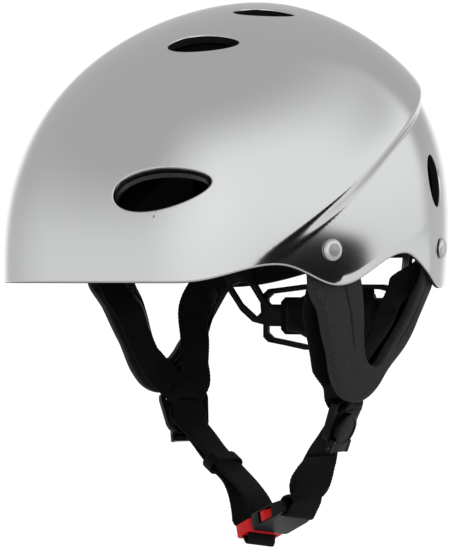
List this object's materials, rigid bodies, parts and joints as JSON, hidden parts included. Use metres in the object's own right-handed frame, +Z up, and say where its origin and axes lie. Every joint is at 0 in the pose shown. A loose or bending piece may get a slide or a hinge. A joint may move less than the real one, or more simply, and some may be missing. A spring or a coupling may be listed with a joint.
{
  "type": "water helmet",
  "caption": "Full-cut whitewater helmet: vented silver shell, foam liner, U-shaped ear guards, webbing harness with a side-release chin buckle, and a nape cradle tightened by a dial.",
  "frame": {"origin": "centre of the head opening at the height of the brow rim", "axes": "+X wearer's left, -Y forward to the brow, +Y the nape, +Z up to the crown"},
  "size_m": [0.218, 0.2752, 0.3187],
  "materials": {
    "shell": "satin silver metallic coat",
    "steel": "polished rivets, plain washers and pins",
    "foam": "closed-cell foam with a smooth skin",
    "cover": "grained dark grey skin",
    "webbing": "woven nylon with ribbed edges",
    "plastic": "fine-grained moulded black",
    "red": "moulded red, slight sheen",
    "fabric": "brushed knit over foam"
  },
  "bodies": {
    "helmet_body": {"shell": "shell", "rivet_side_left": "steel", "rivet_side_right": "steel", "rivet_rear_left": "steel", "rivet_rear_right": "steel", "washer_side_left": "steel", "washer_side_right": "steel", "washer_rear_left": "steel", "washer_rear_right": "steel", "liner_front": "foam", "liner_left": "foam", "liner_right": "foam", "liner_rear": "foam", "liner_crown": "foam", "brow_pad": "fabric", "crown_pad": "fabric", "ear_guard_left": "cover", "ear_guard_right": "cover", "ear_pad_left": "foam", "ear_pad_right": "foam", "strap_front_left": "webbing", "strap_front_right": "webbing", "strap_rear_left": "webbing", "strap_rear_right": "webbing", "divider_frame_left": "plastic", "divider_frame_right": "plastic", "lock_pin_left": "steel", "lock_pin_right": "steel", "hanger_left": "plastic", "hanger_right": "plastic"},
    "chin_loop": {"chin_strap_left": "webbing", "chin_strap_right": "webbing", "strap_tail": "webbing", "buckle_socket": "plastic"},
    "keeper_band": {"keeper": "webbing"},
    "plug": {"buckle_plug": "red"},
    "front_prong": {"prong_front": "red"},
    "rear_prong": {"prong_rear": "red"},
    "left_lock": {"divider_lock_left": "plastic"},
    "right_lock": {"divider_lock_right": "plastic"},
    "cradle": {"cradle_frame": "plastic", "dial_housing": "plastic", "dial_cover": "plastic", "nape_pad": "fabric"},
    "left_band": {"band_left": "plastic"},
    "right_band": {"band_right": "plastic"},
    "dial": {"pinion": "plastic", "dial_knob": "plastic", "dial_screw": "steel"}
  },
  "joints": [
    {"name": "chin_swing", "type": "hinge", "parent": "helmet_body", "child": "chin_loop", "pos_m": [0, 0.0285, -0.0925], "axis": [1, 0, 0], "range_deg": [-35, 10]},
    {"name": "keeper_slide", "type": "slide", "parent": "chin_loop", "child": "keeper_band", "axis": [0.8631, 0, -0.5051], "range_m": [-0.008, 0.008]},
    {"name": "buckle_release", "type": "slide", "parent": "chin_loop", "child": "plug", "axis": [-0.9107, 0, -0.4131], "range_m": [0, 0.022], "deforming": ["prong_front", "prong_rear", "chin_strap_right", "strap_tail"]},
    {"name": "front_prong_squeeze", "type": "hinge", "parent": "plug", "child": "front_prong", "pos_m": [0.00594, 0.0216, -0.14126], "axis": [-0.4068, 0.1736, 0.8968], "range_deg": [0, 12], "stiffness_Nm_per_rad": 0.05},
    {"name": "rear_prong_squeeze", "type": "hinge", "parent": "plug", "child": "rear_prong", "pos_m": [0.00688, 0.0344, -0.14331], "axis": [0.4068, -0.1736, -0.8968], "range_deg": [0, 12], "stiffness_Nm_per_rad": 0.05},
    {"name": "left_lock_flip", "type": "hinge", "parent": "helmet_body", "child": "left_lock", "pos_m": [0.06642, 0.02652, -0.09424], "axis": [-0.289, 0.9573, 0], "range_deg": [0, 105]},
    {"name": "right_lock_flip", "type": "hinge", "parent": "helmet_body", "child": "right_lock", "pos_m": [-0.06642, 0.02652, -0.09424], "axis": [-0.289, -0.9573, 0], "range_deg": [0, 105]},
    {"name": "cradle_tilt", "type": "hinge", "parent": "helmet_body", "child": "cradle", "pos_m": [0, 0.0736, 0.029], "axis": [1, 0, 0], "range_deg": [-10, 4]},
    {"name": "left_band_slide", "type": "hinge", "parent": "cradle", "child": "left_band", "pos_m": [0, -0.044, -0.0205], "axis": [0, 0, 1], "range_deg": [0, 2.87]},
    {"name": "right_band_slide", "type": "hinge", "parent": "cradle", "child": "right_band", "pos_m": [0, -0.044, -0.0205], "axis": [0, 0, -1], "range_deg": [0, 2.87]},
    {"name": "dial_turn", "type": "hinge", "parent": "cradle", "child": "dial", "pos_m": [0, 0.1, -0.0205], "axis": [0, -1, 0], "range_deg": [0, 125.3]}
  ],
  "couplings": [
    {"joint": "left_band_slide", "follows": "dial_turn", "ratio": 0.022857},
    {"joint": "right_band_slide", "follows": "dial_turn", "ratio": 0.022857}
  ]
}
